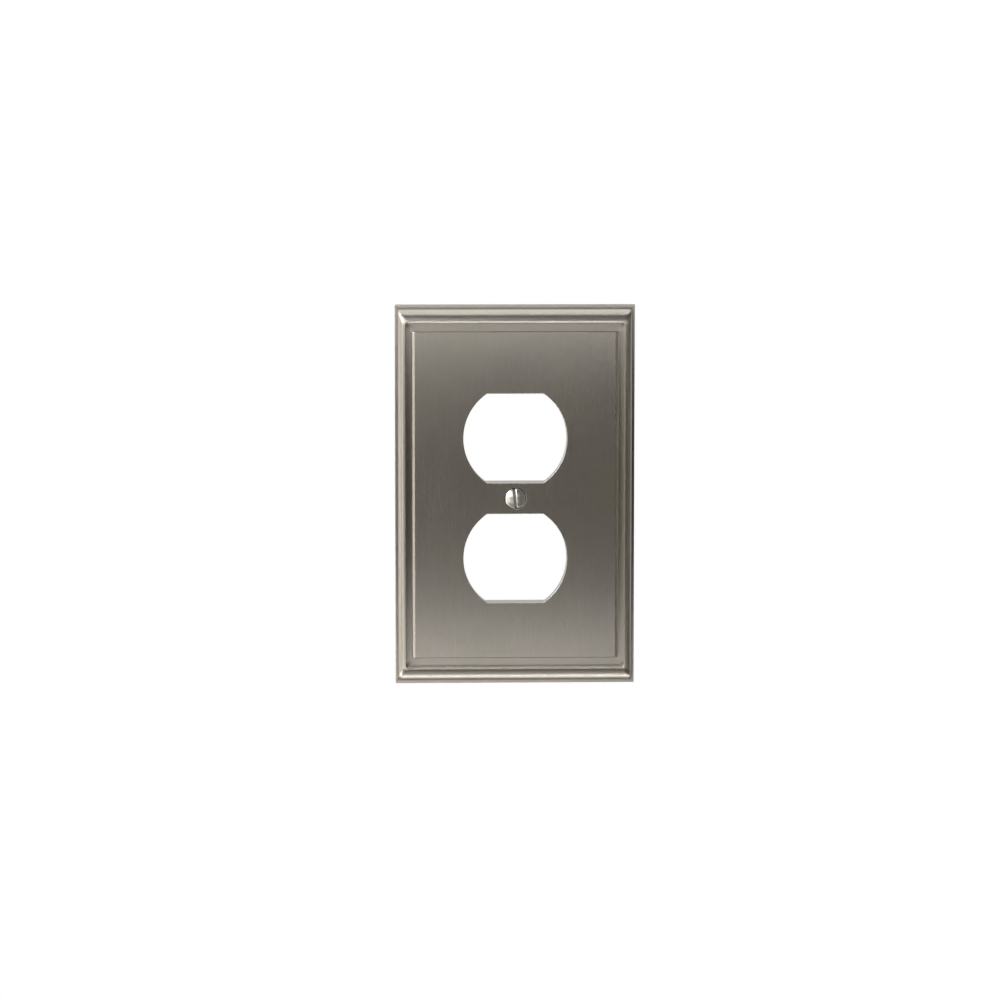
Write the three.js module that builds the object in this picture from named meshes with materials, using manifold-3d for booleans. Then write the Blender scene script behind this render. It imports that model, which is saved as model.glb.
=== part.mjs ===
// A duplex wall plate with its mounting screw, in millimetres.
// +Z is up, the front faces -Y, and the back rim lies in the plane y = 0, which is the wall.
// The origin is on the screw's axis, in the wall plane.

import * as THREE from 'three';
import { mergeVertices } from 'three/addons/utils/BufferGeometryUtils.js';
import Module from 'manifold-3d';

// Plate
const PLATE_WIDTH = 79.0;
const PLATE_HEIGHT = 125.4;
const DEVICE_DROP = 1.0;        // the screw and the openings sit this far below the plate's middle
const WALL_THICKNESS = 1.5;
const RIM_WIDTH = 1.3;          // flat back rim that rests on the wall

// Moulding, from the outer edge inwards. side: inset from the left and right edges.
// end: inset from the top and bottom edges. height: distance from the wall.
const LEDGE = { side: 0.6, end: 1.0, height: 1.6 };
const GROOVE_OUTER = { side: 0.65, end: 1.05, height: 1.3 };
const GROOVE_INNER = { side: 0.85, end: 1.25, height: 1.3 };
const BEAD_FOOT = { side: 1.0, end: 1.35, height: 2.3 };
const BEAD_CREST = { side: 3.4, end: 5.2, height: 6.4 };
const BEAD_RIM = { side: 3.45, end: 5.95, height: 5.75 };
const CHANNEL_OUTER = { side: 3.5, end: 6.1, height: 3.7 };
const CHANNEL_INNER = { side: 5.5, end: 8.75, height: 3.7 };
const PANEL_STEP = { side: 5.65, end: 8.8, height: 5.1 };
const PANEL_EDGE = { side: 6.5, end: 9.0, height: 5.4 };
const BEAD_STEPS = 8;
const BEAD_ARC_DEG = 70;        // the part of a quarter ellipse that the section takes at the ends
const SIDE_SQUARENESS = 2.4;    // the exponent of the section's superellipse on the narrower sides

// Device openings: two round sides, each a little flatter than a circle of the width, and two flats,
// which come a little closer together towards the back, as the draft of a casting
const OPENING_WIDTH = 34.1;
const OPENING_SIDE_RADIUS = 17.8;
const OPENING_FRONT_FLATS = 29.5;
const OPENING_BACK_FLATS = 28.6;
const OPENING_SPACING = 39.7;
const OPENING_ARC_STEPS = 56;
const COLLAR_WALL = 1.4;
const COLLAR_BACK = 0.3;        // the collars stop this far short of the wall

// Screw: 6-32 slotted oval head
const SCREW_LENGTH = 15.9;      // from the widest edge of the head to the tip
const THREAD_DIAMETER = 3.5;
const THREAD_ROOT = 2.75;
const THREAD_PITCH = 0.794;
const HEAD_DIAMETER = 6.6;
const HEAD_EDGE = 0.15;
const CROWN_HEIGHT = 1.0;
const SLOT_WIDTH = 1.35;        // at the top of the crown
const SLOT_FLOOR = 0.55;
const SLOT_DEPTH = 1.5;
const SLOT_TILT_DEG = 4.5;      // the slot's top leans towards -X
const CONE_HALF_DEG = 41;
const TIP_CHAMFER = 0.6;

// Screw hole in the plate
const HEAD_GAP = 0.3;           // radial gap between the head and its countersink
const HOLE_DIAMETER = 4.2;
const BOSS_DIAMETER = 8.4;
const BOSS_BACK = 1.0;

const ROUND_STEPS = 40;
const THROUGH = 2;              // how far a cutter runs past the face it cuts
const PANEL_Y = -PANEL_EDGE.height;

const wasm = await Module();
wasm.setup();

function toSolid(geometry) {
  geometry.deleteAttribute('normal');
  geometry.deleteAttribute('uv');
  const merged = mergeVertices(geometry, 1e-5);
  return new wasm.Manifold(new wasm.Mesh({
    numProp: 3,
    vertProperties: new Float32Array(merged.attributes.position.array),
    triVerts: new Uint32Array(merged.index.array),
  }));
}

function toGeometry(solid) {
  const mesh = solid.getMesh();
  const geometry = new THREE.BufferGeometry();
  geometry.setAttribute('position', new THREE.BufferAttribute(mesh.vertProperties, 3));
  geometry.setIndex(new THREE.BufferAttribute(mesh.triVerts, 1));
  geometry.computeVertexNormals();
  return geometry;
}

// A closed body over rings of [x, y, z] points, each anticlockwise seen from the front and convex.
// The first ring lies at the back and the last at the front.
function loft(rings) {
  const count = rings[0].length;
  const last = count * (rings.length - 1);
  const faces = [];
  for (let corner = 1; corner + 1 < count; corner += 1) {
    faces.push(0, corner + 1, corner);
    faces.push(last, last + corner, last + corner + 1);
  }
  for (let back = 0; back < last; back += count) {
    const front = back + count;
    for (let corner = 0; corner < count; corner += 1) {
      const next = (corner + 1) % count;
      faces.push(back + corner, back + next, front + next);
      faces.push(back + corner, front + next, front + corner);
    }
  }
  const geometry = new THREE.BufferGeometry();
  geometry.setAttribute('position', new THREE.Float32BufferAttribute(rings.flat(2), 3));
  geometry.setIndex(faces);
  return toSolid(geometry);
}

// A rectangle centred on the plate's middle
function rectangleRing({ side, end, height }) {
  const halfWidth = PLATE_WIDTH / 2 - side;
  const halfHeight = PLATE_HEIGHT / 2 - end;
  const corners = [[-1, -1], [1, -1], [1, 1], [-1, 1]];
  return corners.map(([x, z]) => [x * halfWidth, -height, DEVICE_DROP + z * halfHeight]);
}

// The section of the bead, steep at its foot and still rising a little at its crest
function beadLevels() {
  const whole = THREE.MathUtils.degToRad(BEAD_ARC_DEG);
  const levels = [];
  for (let step = 0; step <= BEAD_STEPS; step += 1) {
    const angle = whole * (step / BEAD_STEPS);
    const up = Math.min(Math.sin(angle) / Math.sin(whole), 1);
    const endShare = (1 - Math.cos(angle)) / (1 - Math.cos(whole));
    const sideShare = 1 - (1 - up ** SIDE_SQUARENESS) ** (1 / SIDE_SQUARENESS);
    levels.push({
      side: THREE.MathUtils.lerp(BEAD_FOOT.side, BEAD_CREST.side, sideShare),
      end: THREE.MathUtils.lerp(BEAD_FOOT.end, BEAD_CREST.end, endShare),
      height: THREE.MathUtils.lerp(BEAD_FOOT.height, BEAD_CREST.height, up),
    });
  }
  return levels;
}

function frontBody() {
  const levels = [
    { side: 0, end: 0, height: 0 },
    { side: 0, end: 0, height: LEDGE.height },
    LEDGE,
    GROOVE_OUTER,
    GROOVE_INNER,
    ...beadLevels(),
    BEAD_RIM,
    CHANNEL_OUTER,
    CHANNEL_INNER,
    PANEL_STEP,
    PANEL_EDGE,
  ];
  return loft(levels.map(rectangleRing));
}

function inset(level, further, height) {
  return { side: level.side + further, end: level.end + further, height };
}

// The hollow of the back, which leaves the rim and one wall thickness behind the front skin
function backHollow() {
  const underChannel = CHANNEL_OUTER.height - WALL_THICKNESS;
  const levels = [
    { side: RIM_WIDTH, end: RIM_WIDTH, height: -THROUGH },
    { side: RIM_WIDTH, end: RIM_WIDTH, height: 0 },
    { side: RIM_WIDTH + 0.5, end: RIM_WIDTH + 1.0, height: LEDGE.height },
    inset(BEAD_CREST, 0.2, underChannel),
    inset(CHANNEL_INNER, 0.5, underChannel),
    inset(PANEL_EDGE, 1.0, PANEL_EDGE.height - WALL_THICKNESS),
  ];
  return loft(levels.map(rectangleRing));
}

// An opening's outline at one y, grown on every side
function openingRing(flats, grow, centreZ, y) {
  const radius = OPENING_SIDE_RADIUS + grow;
  const offset = OPENING_SIDE_RADIUS - OPENING_WIDTH / 2;
  const corner = Math.asin((flats / 2 + grow) / radius);
  const ring = [];
  for (const [middle, centreX] of [[0, -offset], [Math.PI, offset]]) {
    for (let step = 0; step <= OPENING_ARC_STEPS; step += 1) {
      const angle = middle + corner * (2 * step / OPENING_ARC_STEPS - 1);
      ring.push([centreX + radius * Math.cos(angle), y, centreZ + radius * Math.sin(angle)]);
    }
  }
  return ring;
}

function openingBody(centreZ) {
  return loft([
    openingRing(OPENING_BACK_FLATS, 0, centreZ, THROUGH),
    openingRing(OPENING_BACK_FLATS, 0, centreZ, 0),
    openingRing(OPENING_FRONT_FLATS, 0, centreZ, PANEL_Y),
    openingRing(OPENING_FRONT_FLATS, 0, centreZ, PANEL_Y - THROUGH),
  ]);
}

// The wall round an opening at the back, without the opening itself
function collarBody(centreZ) {
  return loft([
    openingRing(OPENING_FRONT_FLATS, COLLAR_WALL, centreZ, -COLLAR_BACK),
    openingRing(OPENING_FRONT_FLATS, COLLAR_WALL, centreZ, PANEL_Y),
  ]);
}

// A profile of [radius, y] turned about the Y axis. It starts and ends on the axis.
function turned(profile) {
  const points = profile.map(([radius, y]) => new THREE.Vector2(radius, y));
  return toSolid(new THREE.LatheGeometry(points, ROUND_STEPS));
}

function screwHole() {
  const slope = Math.tan(THREE.MathUtils.degToRad(CONE_HALF_DEG));
  const mouth = HEAD_DIAMETER / 2 + HEAD_GAP;
  const seat = mouth - HOLE_DIAMETER / 2;
  return turned([
    [0, PANEL_Y - THROUGH],
    [mouth, PANEL_Y - THROUGH],
    [mouth, PANEL_Y],
    [HOLE_DIAMETER / 2, PANEL_Y + seat / slope],
    [HOLE_DIAMETER / 2, THROUGH],
    [0, THROUGH],
  ]);
}

function screwBoss() {
  return turned([
    [0, PANEL_Y],
    [BOSS_DIAMETER / 2, PANEL_Y],
    [BOSS_DIAMETER / 2, -BOSS_BACK],
    [0, -BOSS_BACK],
  ]);
}

function wallPlateGeometry() {
  const centres = [OPENING_SPACING / 2, -OPENING_SPACING / 2];
  let hollow = backHollow().subtract(screwBoss());
  for (const centre of centres) {
    hollow = hollow.subtract(collarBody(centre));
  }
  let plate = frontBody().subtract(hollow).subtract(screwHole());
  for (const centre of centres) {
    plate = plate.subtract(openingBody(centre));
  }
  return toGeometry(plate);
}

function crownProfile() {
  const radius = HEAD_DIAMETER / 2;
  const sphere = (radius * radius + CROWN_HEIGHT * CROWN_HEIGHT) / (2 * CROWN_HEIGHT);
  const steps = 8;
  const profile = [];
  for (let step = 0; step <= steps; step += 1) {
    const r = radius * (step / steps);
    const rise = Math.sqrt(sphere * sphere - r * r) - (sphere - CROWN_HEIGHT);
    profile.push([r, PANEL_Y - rise]);
  }
  return profile;
}

// Ridges one pitch apart, from under the head to the tip
function threadProfile(startY, endY) {
  const profile = [];
  for (let y = startY; y + THREAD_PITCH <= endY; y += THREAD_PITCH) {
    profile.push([THREAD_ROOT / 2, y], [THREAD_DIAMETER / 2, y + THREAD_PITCH / 2]);
  }
  return profile;
}

function mountingScrewGeometry() {
  const slope = Math.tan(THREE.MathUtils.degToRad(CONE_HALF_DEG));
  const coneStart = PANEL_Y + HEAD_EDGE;
  const coneEnd = coneStart + (HEAD_DIAMETER - THREAD_DIAMETER) / 2 / slope;
  const tip = PANEL_Y + SCREW_LENGTH;
  const body = turned([
    ...crownProfile(),
    [HEAD_DIAMETER / 2, coneStart],
    [THREAD_DIAMETER / 2, coneEnd],
    ...threadProfile(coneEnd + THREAD_PITCH / 2, tip - TIP_CHAMFER),
    [THREAD_ROOT / 2, tip - TIP_CHAMFER],
    [THREAD_ROOT / 2 - TIP_CHAMFER / 2, tip],
    [0, tip],
  ]);
  return toGeometry(body.subtract(screwSlot()));
}

// A straight groove with leaning sides across the crown
function screwSlot() {
  const top = PANEL_Y - CROWN_HEIGHT;
  const shape = new THREE.Shape();
  shape.moveTo(-SLOT_WIDTH / 2, top - THROUGH);
  shape.lineTo(SLOT_WIDTH / 2, top - THROUGH);
  shape.lineTo(SLOT_WIDTH / 2, top);
  shape.lineTo(SLOT_FLOOR / 2, top + SLOT_DEPTH);
  shape.lineTo(-SLOT_FLOOR / 2, top + SLOT_DEPTH);
  shape.lineTo(-SLOT_WIDTH / 2, top);
  shape.closePath();
  const slot = new THREE.ExtrudeGeometry(shape, { depth: 2 * HEAD_DIAMETER, bevelEnabled: false });
  slot.translate(0, 0, -HEAD_DIAMETER);
  slot.rotateY(-THREE.MathUtils.degToRad(SLOT_TILT_DEG));
  return toSolid(slot);
}

function namedMesh(name, geometry, material) {
  const mesh = new THREE.Mesh(geometry, new THREE.MeshStandardMaterial(material));
  mesh.name = name;
  return mesh;
}

const group = new THREE.Group();
group.add(namedMesh('wall_plate', wallPlateGeometry(), {
  color: 0xb5aa9c,
  roughness: 0.38,
  metalness: 1.0,
}));
group.add(namedMesh('mounting_screw', mountingScrewGeometry(), {
  color: 0xc4bbae,
  roughness: 0.3,
  metalness: 1.0,
}));

export default group;
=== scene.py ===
"""A satin nickel duplex wall plate and its mounting screw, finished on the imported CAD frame.

Shapes are written in millimetres and become metres where a mesh is made. +Z is up, the front faces -Y,
and the wall plane is y = 0.
"""

import math

import bmesh
import bpy
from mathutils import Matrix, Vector

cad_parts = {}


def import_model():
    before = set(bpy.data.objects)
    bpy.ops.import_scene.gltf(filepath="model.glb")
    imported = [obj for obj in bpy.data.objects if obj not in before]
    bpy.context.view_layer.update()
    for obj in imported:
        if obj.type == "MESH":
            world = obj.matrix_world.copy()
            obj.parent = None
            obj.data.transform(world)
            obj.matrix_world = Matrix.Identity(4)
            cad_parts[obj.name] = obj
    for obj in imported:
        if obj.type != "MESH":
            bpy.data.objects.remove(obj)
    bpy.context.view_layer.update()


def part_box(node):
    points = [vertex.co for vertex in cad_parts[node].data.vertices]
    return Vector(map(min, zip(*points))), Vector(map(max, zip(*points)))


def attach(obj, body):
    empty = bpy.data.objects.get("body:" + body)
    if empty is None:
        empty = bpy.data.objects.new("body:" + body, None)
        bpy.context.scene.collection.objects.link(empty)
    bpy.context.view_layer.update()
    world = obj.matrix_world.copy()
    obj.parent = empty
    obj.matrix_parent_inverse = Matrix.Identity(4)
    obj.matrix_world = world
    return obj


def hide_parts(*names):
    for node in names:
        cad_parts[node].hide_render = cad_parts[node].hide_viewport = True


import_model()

MM = 0.001

# Plate outline, from the CAD node's box
plate_low, plate_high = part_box("wall_plate")
PLATE_WIDTH = (plate_high[0] - plate_low[0]) / MM
PLATE_HEIGHT = (plate_high[2] - plate_low[2]) / MM
PLATE_MIDDLE_Z = (plate_high[2] + plate_low[2]) / 2 / MM
PLATE_DEPTH = (plate_high[1] - plate_low[1]) / MM

# Border, from the outer edge inwards: inset from the left and right edges, inset from the top and bottom
# edges, height above the wall, radius of the corners
LEDGE_EDGE = (0.0, 0.0, 1.6, 0.25)
LEDGE_INNER = (0.6, 1.0, 1.6, 0.25)
GROOVE_OUTER = (0.65, 1.05, 1.3, 0.25)
GROOVE_INNER = (0.85, 1.25, 1.3, 0.3)
BEAD_FOOT = (1.0, 1.35, 2.3, 0.9)
BEAD_CREST = (3.4, 5.2, PLATE_DEPTH, 1.6)
BEAD_RIM = (3.45, 5.95, 5.75, 1.3)
CHANNEL_OUTER = (3.5, 6.1, 3.7, 0.9)
CHANNEL_INNER = (5.5, 8.75, 3.7, 0.25)
PANEL_STEP = (5.65, 8.8, 5.1, 0.25)
PANEL_EDGE = (6.5, 9.0, 5.4, 0.25)
PANEL_HEIGHT = PANEL_EDGE[2]
BEAD_STEPS = 24
BEAD_ARC = math.radians(70)
SIDE_SQUARENESS = 2.4
CORNER_STEPS = 8

# The curve that breaks an edge takes at most this share of the flat on either side
EDGE_SHARE = 0.45
EDGE_STEPS = 5

# Back: a flat rim, a hollow, a collar round each opening and a boss round the screw hole. The collars and
# the boss end at these distances from the wall.
WALL_THICKNESS = 1.5
RIM_WIDTH = 1.3
HOLLOW_CORNER = 0.6
HOLLOW_CURVE = 0.4
COLLAR_WALL = 1.4
COLLAR_BACK = 0.3
BOSS_DIAMETER = 8.4
BOSS_BACK = 1.0
BACK_CHAMFER = 0.25

# Device openings: two round sides and two flats, which come closer together towards the back
OPENING_WIDTH = 34.1
OPENING_SIDE_RADIUS = 17.8
OPENING_FRONT_FLATS = 29.5
OPENING_BACK_FLATS = 28.6
OPENING_SPACING = 39.7
OPENING_EDGE = 0.15
OPENING_ARC_STEPS = 90
FILLET_STEPS = 6

# Screw and its hole
HEAD_DIAMETER = 6.6
HEAD_EDGE = 0.15
CROWN_HEIGHT = 1.0
CROWN_BREAK = 0.02
RIM_BREAK = 0.05
CONE_BREAK = 0.03
CONE_BREAK_DEPTH = 0.02
CONE_HALF_ANGLE = math.radians(41)
HEAD_GAP = 0.3
HOLE_DIAMETER = 4.2
HOLE_EDGE = 0.12
SLOT_MOUTH = 1.35
SLOT_NECK = 0.65
SLOT_FLOOR = 0.55
SLOT_BEVEL = 0.2
SLOT_DEPTH = 1.5
SLOT_TILT = math.radians(4.5)
THREAD_DIAMETER = 3.5
THREAD_ROOT = 2.75
THREAD_PITCH = 0.794
THREAD_SAMPLES = 10  # to each turn
TIP_CHAMFER = 0.6
TIP_STEPS = 6
ROUND_STEPS = 96
CROWN_STEPS = 24
SLOT_STEPS = 24
CONE_START = -PANEL_HEIGHT + HEAD_EDGE
CONE_END = CONE_START + (HEAD_DIAMETER - THREAD_DIAMETER) / 2 / math.tan(CONE_HALF_ANGLE)

# The thread's section is a triangle stretched and then lowered by these shares of its height. What passes
# its crest or its root is cut off, which leaves a narrow flat on both.
THREAD_STRETCH = 1.35
THREAD_DROP = 0.15

# How far a cutter runs past the faces that it cuts
PAST = 2.0


# ---- mesh helpers ----

def mesh_object(name, points, faces):
    """An object with these points, in millimetres, and faces turned outwards."""
    mesh = bpy.data.meshes.new(name)
    mesh.from_pydata([[c * MM for c in p] for p in points], [], faces)
    work = bmesh.new()
    work.from_mesh(mesh)
    bmesh.ops.recalc_face_normals(work, faces=work.faces)
    work.to_mesh(mesh)
    work.free()
    obj = bpy.data.objects.new(name, mesh)
    bpy.context.scene.collection.objects.link(obj)
    return obj


def skin(name, rings):
    """A closed body over rings of points that all have the same count, capped at both ends."""
    count = len(rings[0])
    points = [point for ring in rings for point in ring]
    faces = [tuple(range(count))]
    for level in range(len(rings) - 1):
        for k in range(count):
            a = level * count + k
            b = level * count + (k + 1) % count
            faces.append((a, b, b + count, a + count))
    faces.append(tuple(range(len(points) - count, len(points))))
    return mesh_object(name, points, faces)


def cut(target, tool):
    """Takes tool out of target and removes it."""
    modifier = target.modifiers.new("cut", "BOOLEAN")
    modifier.operation = "DIFFERENCE"
    modifier.solver = "EXACT"
    modifier.object = tool
    depsgraph = bpy.context.evaluated_depsgraph_get()
    made = bpy.data.meshes.new_from_object(target.evaluated_get(depsgraph), depsgraph=depsgraph)
    target.modifiers.clear()
    target.data = made
    bpy.data.objects.remove(tool)


# ---- plate ----

def bead_levels():
    """The bead's section from its foot to just below its crest, steep at the foot.

    It is an elliptical arc at the top and bottom, and has a squarer shoulder on the narrower sides.
    """
    levels = []
    for step in range(BEAD_STEPS):
        angle = BEAD_ARC * step / BEAD_STEPS
        up = math.sin(angle) / math.sin(BEAD_ARC)
        end = (1 - math.cos(angle)) / (1 - math.cos(BEAD_ARC))
        side = 1 - (1 - up ** SIDE_SQUARENESS) ** (1 / SIDE_SQUARENESS)
        shares = (side, end, up, end)
        levels.append([a + (b - a) * share for a, b, share in zip(BEAD_FOOT, BEAD_CREST, shares)])
    return levels


def border_path():
    """The front's levels from the wall to the panel, each with the size of the curve on its edge."""
    wall = (0.0, 0.0, 0.0, LEDGE_EDGE[3])
    panel = (PANEL_EDGE[0] + 1.0, PANEL_EDGE[1] + 1.0, PANEL_HEIGHT, PANEL_EDGE[3])
    foot, *arc = bead_levels()
    path = [(wall, 0.1), (LEDGE_EDGE, 0.2), (LEDGE_INNER, 0.05)]
    path += [(GROOVE_OUTER, 0.05), (GROOVE_INNER, 0.05), (foot, 0.15)]
    path += [(level, 0.0) for level in arc]
    path += [(BEAD_CREST, 0.1), (BEAD_RIM, 0.1), (CHANNEL_OUTER, 0.15)]
    path += [(CHANNEL_INNER, 0.1), (PANEL_STEP, 0.1), (PANEL_EDGE, 0.1)]
    path.append((panel, 0.0))
    return path


def rounded(path):
    """The path with a small curve in place of each level whose edge is broken."""
    levels = [Vector(level) for level, size in path]
    made = [levels[0]]
    for before, here, after, (_, size) in zip(levels, levels[1:], levels[2:], path[1:]):
        if size == 0.0:
            made.append(here)
            continue
        start = here + (before - here).normalized() * min(size, (before - here).length * EDGE_SHARE)
        stop = here + (after - here).normalized() * min(size, (after - here).length * EDGE_SHARE)
        for step in range(EDGE_STEPS + 1):
            t = step / EDGE_STEPS
            made.append(start * (1 - t) ** 2 + here * 2 * t * (1 - t) + stop * t ** 2)
    made.append(levels[-1])
    return made


def rectangle_ring(side, end, height, corner):
    """A rectangle round the plate's middle with rounded corners, anticlockwise seen from the front."""
    half_x = PLATE_WIDTH / 2 - side - corner
    half_z = PLATE_HEIGHT / 2 - end - corner
    ring = []
    for sign_x, sign_z, start in ((-1, -1, 180), (1, -1, 270), (1, 1, 0), (-1, 1, 90)):
        for step in range(CORNER_STEPS + 1):
            angle = math.radians(start + 90 * step / CORNER_STEPS)
            x = sign_x * half_x + corner * math.cos(angle)
            z = sign_z * half_z + corner * math.sin(angle)
            ring.append((x, -height, PLATE_MIDDLE_Z + z))
    return ring


def front_body():
    """The plate's outside, solid to the wall."""
    return skin("wall_plate_surface", [rectangle_ring(*level) for level in rounded(border_path())])


def inset(level, further, height):
    """A level of the hollow, further in than this level of the border."""
    return (level[0] + further, level[1] + further, height, HOLLOW_CORNER)


def back_hollow():
    """The hollow of the back, which leaves the rim and one wall thickness behind the front skin."""
    under_channel = CHANNEL_OUTER[2] - WALL_THICKNESS
    roof = PANEL_HEIGHT - WALL_THICKNESS
    path = [
        ((RIM_WIDTH, RIM_WIDTH, -PAST, HOLLOW_CORNER), 0.0),
        ((RIM_WIDTH, RIM_WIDTH, 0.0, HOLLOW_CORNER), 0.0),
        ((RIM_WIDTH + 0.5, RIM_WIDTH + 1.0, LEDGE_EDGE[2], HOLLOW_CORNER), 0.3),
        (inset(BEAD_CREST, 0.2, under_channel), HOLLOW_CURVE),
        (inset(CHANNEL_INNER, 0.5, under_channel), HOLLOW_CURVE),
        (inset(PANEL_EDGE, 1.0, roof), HOLLOW_CURVE),
        (inset(PANEL_EDGE, 3.0, roof), 0.0),
    ]
    return skin("hollow", [rectangle_ring(*level) for level in rounded(path)])


def opening_ring(flats, grow, centre_z, y):
    """The opening's outline, grown on every side: two round sides and two level flats."""
    radius = OPENING_SIDE_RADIUS + grow
    offset = OPENING_SIDE_RADIUS - OPENING_WIDTH / 2
    corner = math.asin((flats / 2 + grow) / radius)
    ring = []
    for middle, centre_x in ((0.0, -offset), (math.pi, offset)):
        for step in range(OPENING_ARC_STEPS + 1):
            angle = middle - corner + 2 * corner * step / OPENING_ARC_STEPS
            ring.append((centre_x + radius * math.cos(angle), y, centre_z + radius * math.sin(angle)))
    return ring


def opening_cutter(centre_z):
    """The opening's own shape, with drafted flats, flared at the front so that it leaves a rounded edge."""
    rings = [opening_ring(OPENING_BACK_FLATS, 0.0, centre_z, y) for y in (PAST, 0.0)]
    for step in range(FILLET_STEPS + 1):
        angle = math.pi / 2 * step / FILLET_STEPS
        grow = OPENING_EDGE * (1 - math.cos(angle))
        y = -PANEL_HEIGHT + OPENING_EDGE * (1 - math.sin(angle))
        rings.append(opening_ring(OPENING_FRONT_FLATS, grow, centre_z, y))
    rings.append(opening_ring(OPENING_FRONT_FLATS, OPENING_EDGE, centre_z, -PANEL_HEIGHT - PAST))
    return skin("opening", rings)


def collar(centre_z):
    """The wall round an opening at the back, from the panel to just short of the wall plane."""
    chamfer_start = -COLLAR_BACK - BACK_CHAMFER
    levels = [(0.0, -PANEL_HEIGHT), (0.0, chamfer_start), (-BACK_CHAMFER, -COLLAR_BACK)]
    rings = [opening_ring(OPENING_FRONT_FLATS, COLLAR_WALL + grow, centre_z, y) for grow, y in levels]
    return skin("collar", rings)


def turned(name, profile, radius_at=None):
    """A body turned about the Y axis. profile is a list of (radius, y), without its ends on the axis."""
    rings = []
    for radius, y in profile:
        ring = []
        for step in range(ROUND_STEPS):
            angle = math.tau * step / ROUND_STEPS
            r = radius_at(radius, y, angle) if radius_at else radius
            ring.append((r * math.cos(angle), y, r * math.sin(angle)))
        rings.append(ring)
    return skin(name, rings)


def screw_hole():
    """The countersunk hole's own shape, with a rounded edge at its mouth."""
    mouth = HEAD_DIAMETER / 2 + HEAD_GAP
    seat = (mouth - HOLE_DIAMETER / 2) / math.tan(CONE_HALF_ANGLE)
    return turned("hole", [
        (mouth + HOLE_EDGE, -PANEL_HEIGHT - PAST),
        (mouth + HOLE_EDGE, -PANEL_HEIGHT),
        (mouth + 0.3 * HOLE_EDGE, -PANEL_HEIGHT + 0.35 * HOLE_EDGE),
        (mouth, -PANEL_HEIGHT + HOLE_EDGE),
        (HOLE_DIAMETER / 2, -PANEL_HEIGHT + HOLE_EDGE + seat),
        (HOLE_DIAMETER / 2, PAST),
    ])


def boss():
    """The wall round the screw hole at the back, without the hole."""
    return turned("boss", [
        (BOSS_DIAMETER / 2, -PANEL_HEIGHT),
        (BOSS_DIAMETER / 2, -BOSS_BACK - BACK_CHAMFER),
        (BOSS_DIAMETER / 2 - BACK_CHAMFER, -BOSS_BACK),
    ])


def wall_plate():
    hollow = back_hollow()
    cut(hollow, boss())
    for sign in (1, -1):
        cut(hollow, collar(sign * OPENING_SPACING / 2))
    plate = front_body()
    cut(plate, hollow)
    cut(plate, screw_hole())
    for sign in (1, -1):
        cut(plate, opening_cutter(sign * OPENING_SPACING / 2))
    return plate


# ---- screw ----

def crown_rise(r):
    """How far the domed crown stands above its rim at this distance from the screw's axis."""
    radius = HEAD_DIAMETER / 2
    sphere = (radius ** 2 + CROWN_HEIGHT ** 2) / (2 * CROWN_HEIGHT)
    return math.sqrt(sphere ** 2 - r ** 2) - (sphere - CROWN_HEIGHT)


def head_profile():
    """The head's section from near its axis to the start of its cone, with small breaks at its corners."""
    radius = HEAD_DIAMETER / 2
    profile = []
    for step in range(1, CROWN_STEPS + 1):
        r = radius * step / CROWN_STEPS - CROWN_BREAK
        profile.append((r, -PANEL_HEIGHT - crown_rise(r)))
    profile.append((radius, -PANEL_HEIGHT + RIM_BREAK))
    profile.append((radius, CONE_START - CONE_BREAK))
    profile.append((radius - CONE_BREAK, CONE_START + CONE_BREAK_DEPTH))
    return profile


def thread_radius(radius, y, angle):
    """The screw's radius at one point of its thread, which fades out under the head, or radius above it."""
    if y <= CONE_END:
        return radius
    turn = (y / THREAD_PITCH - angle / math.tau) % 1.0
    ridge = min(max((1 - abs(2 * turn - 1)) * THREAD_STRETCH - THREAD_DROP, 0.0), 1.0)
    runout = min((y - CONE_END) / THREAD_PITCH, 1.0)
    threaded = THREAD_ROOT / 2 + (THREAD_DIAMETER - THREAD_ROOT) / 2 * ridge
    return min(radius, THREAD_DIAMETER / 2 * (1 - runout) + threaded * runout)


def mounting_screw():
    _, screw_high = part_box("mounting_screw")
    tip = screw_high[1] / MM
    shank = tip - TIP_CHAMFER - CONE_END
    profile = head_profile()
    profile.append((THREAD_DIAMETER / 2, CONE_END))
    levels = int(shank / THREAD_PITCH * THREAD_SAMPLES)
    for level in range(1, levels + 1):
        profile.append((THREAD_DIAMETER / 2, CONE_END + shank * level / levels))
    for step in range(1, TIP_STEPS + 1):
        t = step / TIP_STEPS
        profile.append((THREAD_DIAMETER / 2 - TIP_CHAMFER * t, tip - TIP_CHAMFER * (1 - t)))
    screw = turned("mounting_screw_surface", profile, thread_radius)
    cut(screw, slot_cutter())
    return screw


def slot_cutter():
    """A groove across the crown whose bevelled mouth follows the crown from side to side."""
    reach = HEAD_DIAMETER / 2 + 0.5
    flare = (SLOT_MOUTH - SLOT_NECK) / 2 / SLOT_BEVEL
    floor = -PANEL_HEIGHT - CROWN_HEIGHT + SLOT_DEPTH
    rings = []
    for step in range(SLOT_STEPS + 1):
        along = reach * (2 * step / SLOT_STEPS - 1)
        crown = -PANEL_HEIGHT - crown_rise(abs(along))
        section = [(SLOT_MOUTH / 2 + flare * SLOT_BEVEL, crown - SLOT_BEVEL),
                   (SLOT_NECK / 2, crown + SLOT_BEVEL), (SLOT_FLOOR / 2, floor)]
        section += [(-half, y) for half, y in reversed(section)]
        rings.append([(x * math.cos(SLOT_TILT) - along * math.sin(SLOT_TILT), y,
                       along * math.cos(SLOT_TILT) + x * math.sin(SLOT_TILT)) for x, y in section])
    return skin("slot", rings)


# ---- surface finish ----

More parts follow.
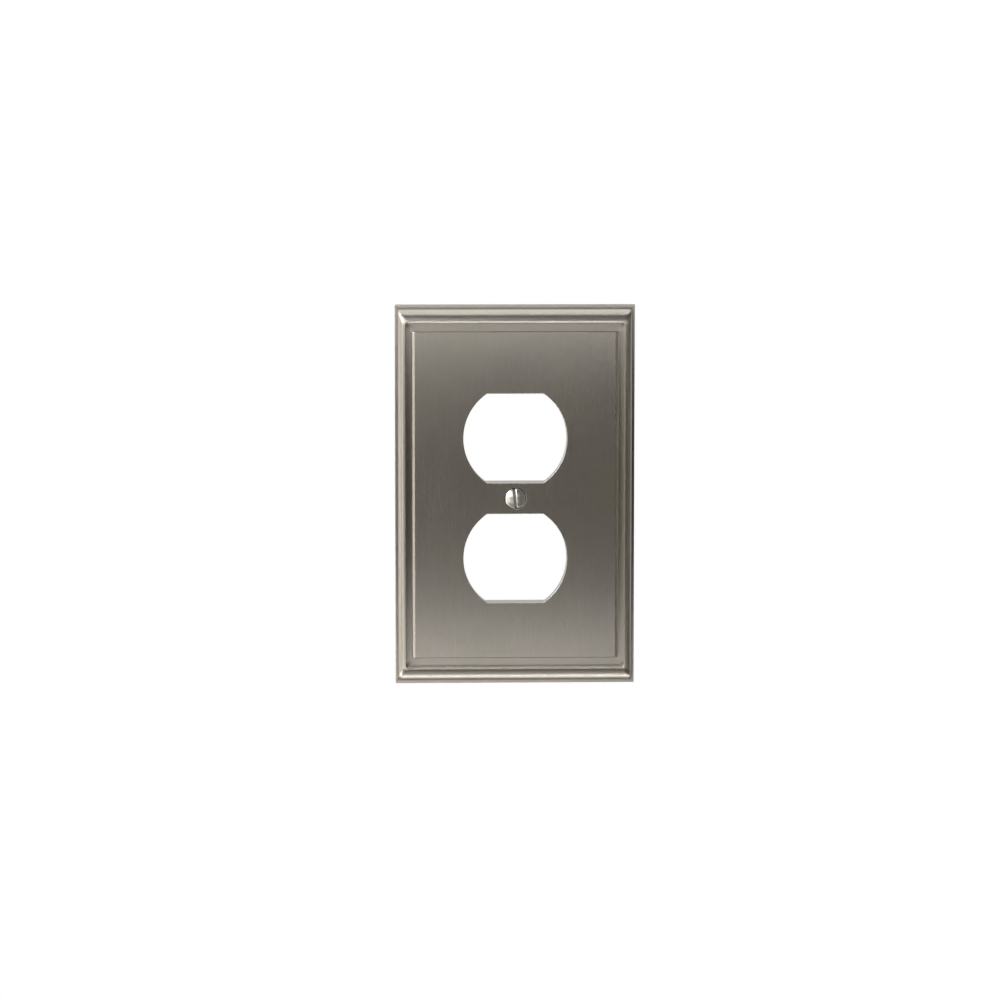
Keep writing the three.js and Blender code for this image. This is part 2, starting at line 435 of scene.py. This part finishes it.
# The mark on tight edges, partly rubbed wear and partly a painted highlight, starts where a convex
# edge turns by the first number of radians to the millimetre, and is full at the second. No width
# under NARROWEST counts. The corners of faces larger than BROAD_FACE have no mark, because it would
# spread over the whole face.
WEAR_AND_HIGHLIGHT_STARTS = 0.8
WEAR_AND_HIGHLIGHT_FULL = 4.0
NARROWEST = 0.02
BROAD_FACE = 60 * MM * MM


def mark_wear_and_highlight(obj):
    """A vertex attribute, 1 on tight convex edges, which rub bright first and get a painted highlight; else
    0.
    """
    work = bmesh.new()
    work.from_mesh(obj.data)
    layer = work.verts.layers.float.new("wear_and_highlight")
    broad = {v for face in work.faces if face.calc_area() > BROAD_FACE for v in face.verts}
    for edge in work.edges:
        if len(edge.link_faces) != 2:
            continue
        angle = edge.calc_face_angle_signed(0.0)
        if angle <= 0.0:
            continue
        middle = (edge.verts[0].co + edge.verts[1].co) / 2
        along = (edge.verts[1].co - edge.verts[0].co).normalized()
        widths = []
        for face in edge.link_faces:
            offset = face.calc_center_median() - middle
            widths.append((offset - along * offset.dot(along)).length)
        bend = angle / max(2 * max(widths) / MM, NARROWEST)
        value = min(max((bend - WEAR_AND_HIGHLIGHT_STARTS) / (WEAR_AND_HIGHLIGHT_FULL - WEAR_AND_HIGHLIGHT_STARTS), 0.0), 1.0)
        for vertex in edge.verts:
            if vertex not in broad:
                vertex[layer] = max(vertex[layer], value)
    work.to_mesh(obj.data)
    work.free()


SHARP_ANGLE = math.radians(40)


def smooth(obj):
    """Smooth shading in which broad faces stay flat and sharp edges stay sharp."""
    mesh = obj.data
    mesh.shade_smooth()
    mesh.set_sharp_from_angle(angle=SHARP_ANGLE)
    weighted = obj.modifiers.new("weighted", "WEIGHTED_NORMAL")
    weighted.mode = "FACE_AREA"
    weighted.weight = 100
    weighted.keep_sharp = True


class Shader:
    """The node tree of a material or world, with short calls for the nodes that it uses."""

    def __init__(self, owner, output="ShaderNodeOutputMaterial"):
        self.owner = owner
        owner.use_nodes = True
        self.tree = owner.node_tree
        self.tree.nodes.clear()
        self.out = self.node(output)

    def node(self, kind, **settings):
        made = self.tree.nodes.new(kind)
        for key, value in settings.items():
            setattr(made, key, value)
        return made

    def feed(self, socket, value):
        """Gives a socket a value, or a link if the value is another node's output."""
        if isinstance(value, bpy.types.NodeSocket):
            self.tree.links.new(value, socket)
        else:
            socket.default_value = value

    def math(self, operation, a, b=0.0, c=0.0, clamp=False):
        made = self.node("ShaderNodeMath", operation=operation, use_clamp=clamp)
        for socket, value in zip(made.inputs, (a, b, c)):
            self.feed(socket, value)
        return made.outputs[0]

    def noise(self, stretch, detail=2.0, roughness=0.5):
        """Noise with this many cells to the metre along x, y and z."""
        mapping = self.node("ShaderNodeMapping")
        mapping.inputs["Scale"].default_value = stretch
        self.feed(mapping.inputs["Vector"], self.node("ShaderNodeTexCoord").outputs["Object"])
        made = self.node("ShaderNodeTexNoise")
        made.inputs["Scale"].default_value = 1.0
        made.inputs["Detail"].default_value = detail
        made.inputs["Roughness"].default_value = roughness
        self.feed(made.inputs["Vector"], mapping.outputs[0])
        return made.outputs["Fac"]

    def ramp(self, value, low, high):
        """0 up to low, 1 from high on, and a smooth step in between."""
        made = self.node("ShaderNodeMapRange", clamp=True, interpolation_type="SMOOTHSTEP")
        made.inputs["From Min"].default_value = low
        made.inputs["From Max"].default_value = high
        self.feed(made.inputs["Value"], value)
        return made.outputs[0]

    def mix(self, factor, a, b):
        made = self.node("ShaderNodeMix", data_type="RGBA")
        for socket, value in ((made.inputs[0], factor), (made.inputs[6], a), (made.inputs[7], b)):
            self.feed(socket, value)
        return made.outputs[2]


def brushed_nickel(name, colour, roughness, anisotropy, grain_depth):
    """Satin nickel brushed along Z: fine streaks, faint tarnish, edges rubbed bright with a painted
    highlight.

    grain_depth is the height of the streaks in millimetres.
    """
    s = Shader(bpy.data.materials.new(name))
    fine = s.noise((7000, 7000, 420), detail=3.0, roughness=0.6)
    medium = s.noise((1900, 1900, 90), detail=2.0)
    grain = s.math("MULTIPLY_ADD", fine, 0.75, s.math("MULTIPLY", medium, 0.25))
    clouds = s.noise((45, 45, 30), detail=4.0, roughness=0.55)
    speckle = s.noise((2600, 2600, 900), detail=2.0)
    # The mask of tight convex edges, whose lighter colour is partly rubbed wear and partly a painted
    # highlight
    wear_and_highlight_mask = s.node("ShaderNodeAttribute", attribute_name="wear_and_highlight").outputs["Fac"]
    wear_and_highlight_mask = s.math("MULTIPLY", wear_and_highlight_mask, s.ramp(speckle, 0.25, 0.6), clamp=True)

    dark = tuple(c * 0.94 for c in colour)
    light = tuple(min(c * 1.06, 1.0) for c in colour)
    tarnish = (colour[0] * 0.93, colour[1] * 0.95, colour[2] * 0.88)
    # Painted highlight, partly real wear: tight edges are mixed towards this lighter colour
    bright = tuple(c * 0.3 + 0.66 for c in colour)
    streaked = s.mix(s.ramp(grain, 0.3, 0.7), (*dark, 1), (*light, 1))
    aged = s.mix(s.math("MULTIPLY", s.ramp(clouds, 0.45, 0.75), 0.6), streaked, (*tarnish, 1))
    shade = s.mix(s.math("MULTIPLY", wear_and_highlight_mask, 0.8), aged, (*bright, 1))

    rough = s.math("MULTIPLY_ADD", grain, 0.08, roughness - 0.04)
    rough = s.math("MULTIPLY_ADD", clouds, 0.06, s.math("SUBTRACT", rough, 0.03))
    rough = s.math("MULTIPLY_ADD", wear_and_highlight_mask, -0.1, rough, clamp=True)

    bump = s.node("ShaderNodeBump")
    bump.inputs["Strength"].default_value = 1.0
    bump.inputs["Distance"].default_value = grain_depth * MM
    s.feed(bump.inputs["Height"], grain)

    # The tangent crosses the brushing. Its small second part keeps it defined on faces that point along X.
    across = s.node("ShaderNodeCombineXYZ")
    across.inputs[0].default_value = 1.0
    across.inputs[1].default_value = 0.03

    metal = s.node("ShaderNodeBsdfPrincipled")
    metal.inputs["Metallic"].default_value = 1.0
    metal.inputs["Anisotropic"].default_value = anisotropy
    s.feed(metal.inputs["Base Color"], shade)
    s.feed(metal.inputs["Roughness"], rough)
    s.feed(metal.inputs["Normal"], bump.outputs[0])
    s.feed(metal.inputs["Tangent"], across.outputs[0])
    s.feed(s.out.inputs["Surface"], metal.outputs[0])
    return s.owner


# ---- scene ----

def soft_box(name, place, aim, size, brightness, colour):
    """A rectangular light at place, in metres, turned to aim, as bright all over as brightness says."""
    data = bpy.data.lights.new(name, "AREA")
    data.shape = "RECTANGLE"
    data.size, data.size_y = size
    data.energy = math.pi * size[0] * size[1] * brightness
    data.color = colour
    light = bpy.data.objects.new(name, data)
    light.location = place
    light.rotation_mode = "QUATERNION"
    light.rotation_quaternion = (Vector(place) - Vector(aim)).to_track_quat("Z", "Y")
    light.visible_camera = False
    bpy.context.scene.collection.objects.link(light)


NEUTRAL = (1.0, 1.0, 1.0)
WARM = (1.0, 0.98, 0.94)
DIM_YELLOW = (1.0, 0.95, 0.84)
MIDDLE = (0.0, 0.0, 0.0)


def studio():
    """Strips above and below the lens, boxes round the plate, dim at the right, and a bright wall behind.

    What shines straight up or down aims 0.1 mm to one side, which sets how it is turned about its own axis.
    """
    soft_box("upper_strip", (-0.1, -0.35, 0.105), (-0.1, 0.0, 0.105), (0.5, 0.13), 0.92, NEUTRAL)
    soft_box("lower_strip", (-0.1, -0.35, -0.165), (-0.1, 0.0, -0.165), (0.5, 0.15), 0.75, NEUTRAL)
    soft_box("top_box", (-0.1, 0.15, 0.42), (-0.1, 0.1499, 0.0), (0.8, 0.4), 0.95, NEUTRAL)
    soft_box("low_box", (-0.1, 0.06, -0.42), (-0.1, 0.0599, 0.0), (0.8, 0.22), 0.55, NEUTRAL)
    soft_box("top_band", (-0.1, -0.095, 0.4), (-0.1, -0.0951, 0.0), (0.8, 0.02), 4.3, NEUTRAL)
    soft_box("low_band", (-0.1, -0.02, -0.4), (-0.1, -0.0201, 0.0), (0.8, 0.02), 5.3, NEUTRAL)
    soft_box("left_box", (-0.38, -0.30, -0.02), MIDDLE, (0.26, 0.4), 1.55, WARM)
    soft_box("left_back_box", (-0.42, 0.15, 0.0), MIDDLE, (0.22, 0.7), 1.4, WARM)
    soft_box("upper_left_box", (-0.31, -0.31, 0.23), MIDDLE, (0.26, 0.26), 3.4, NEUTRAL)
    soft_box("high_left_box", (-0.46, -0.06, 0.32), MIDDLE, (0.24, 0.24), 4.5, NEUTRAL)
    soft_box("deep_left_box", (-0.46, -0.06, -0.32), MIDDLE, (0.24, 0.24), 4.5, NEUTRAL)
    soft_box("right_box", (0.42, -0.18, 0.0), MIDDLE, (0.14, 0.7), 0.4, WARM)
    soft_box("right_back_box", (0.42, 0.22, 0.0), MIDDLE, (0.2, 0.7), 0.3, WARM)
    soft_box("back_wall", (0.0, 0.5, 0.05), (0.0, 0.0, 0.05), (1.2, 1.0), 0.6, NEUTRAL)


# The world's strength straight ahead of the metal, and how much it falls to the right
DIM_STRENGTH = 0.05
DIM_FALL = 0.045


def world():
    """White where the camera sees it. The metal sees a dim light that fades out from left to right."""
    s = Shader(bpy.data.worlds.new("studio"), "ShaderNodeOutputWorld")
    seen = s.node("ShaderNodeBackground")
    seen.inputs["Color"].default_value = (1, 1, 1, 1)
    lit = s.node("ShaderNodeBackground")
    lit.inputs["Color"].default_value = (*DIM_YELLOW, 1)
    rightward = s.node("ShaderNodeSeparateXYZ")
    s.feed(rightward.inputs[0], s.node("ShaderNodeTexCoord").outputs["Generated"])
    s.feed(lit.inputs["Strength"], s.math("MULTIPLY_ADD", rightward.outputs[0], -DIM_FALL, DIM_STRENGTH))
    mix = s.node("ShaderNodeMixShader")
    s.feed(mix.inputs[0], s.node("ShaderNodeLightPath").outputs["Is Camera Ray"])
    s.feed(mix.inputs[1], lit.outputs[0])
    s.feed(mix.inputs[2], seen.outputs[0])
    s.feed(s.out.inputs["Surface"], mix.outputs[0])
    bpy.context.scene.world = s.owner


FLOOR_RADIUS = 550
FLOOR_HEIGHT = -640


def floor():
    """A pale round floor far below the plate, outside the main view."""
    points = []
    for step in range(ROUND_STEPS):
        angle = math.tau * step / ROUND_STEPS
        points.append((FLOOR_RADIUS * math.cos(angle), FLOOR_RADIUS * math.sin(angle), FLOOR_HEIGHT))
    made = mesh_object("floor", points, [tuple(range(ROUND_STEPS))])
    s = Shader(bpy.data.materials.new("pale_floor"))
    matte = s.node("ShaderNodeBsdfPrincipled")
    matte.inputs["Roughness"].default_value = 0.9
    clouds = s.noise((8, 8, 8), detail=3.0)
    s.feed(matte.inputs["Base Color"], s.mix(clouds, (0.84, 0.84, 0.83, 1), (0.88, 0.88, 0.87, 1)))
    s.feed(s.out.inputs["Surface"], matte.outputs[0])
    made.data.materials.append(s.owner)


CAMERA_DISTANCE = 1.2
CAMERA_AZIMUTH = math.radians(-2.0)
CAMERA_ELEVATION = math.radians(5.5)
VIEW_WIDTH = 0.3305
VIEW_CENTRE = Vector((-5.0, 0.0, PLATE_MIDDLE_Z - 1.97)) * MM


def camera():
    """A camera a little above the plate and to its left, whose view is VIEW_WIDTH wide at the plate."""
    data = bpy.data.cameras.new("camera")
    data.sensor_width = 36.0
    data.lens = data.sensor_width * CAMERA_DISTANCE / VIEW_WIDTH
    data.clip_start, data.clip_end = 0.01, 10.0
    made = bpy.data.objects.new("camera", data)
    back = Vector((
        math.sin(CAMERA_AZIMUTH) * math.cos(CAMERA_ELEVATION),
        -math.cos(CAMERA_AZIMUTH) * math.cos(CAMERA_ELEVATION),
        math.sin(CAMERA_ELEVATION),
    ))
    made.location = VIEW_CENTRE + back * CAMERA_DISTANCE
    made.rotation_mode = "QUATERNION"
    made.rotation_quaternion = (-back).to_track_quat("-Z", "Y")
    bpy.context.scene.collection.objects.link(made)
    bpy.context.scene.camera = made


camera()
world()
studio()
floor()

plate = wall_plate()
mark_wear_and_highlight(plate)
smooth(plate)
plate.data.materials.clear()
plate.data.materials.append(brushed_nickel("plate_nickel", (0.62, 0.575, 0.515), 0.30, 0.85, 0.06))
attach(plate, "plate")
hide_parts("wall_plate")

screw = mounting_screw()
mark_wear_and_highlight(screw)
smooth(screw)
screw.data.materials.clear()
screw.data.materials.append(brushed_nickel("screw_nickel", (0.78, 0.755, 0.71), 0.34, 0.4, 0.02))
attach(screw, "screw")
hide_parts("mounting_screw")

bpy.context.scene.view_settings.view_transform = "Standard"
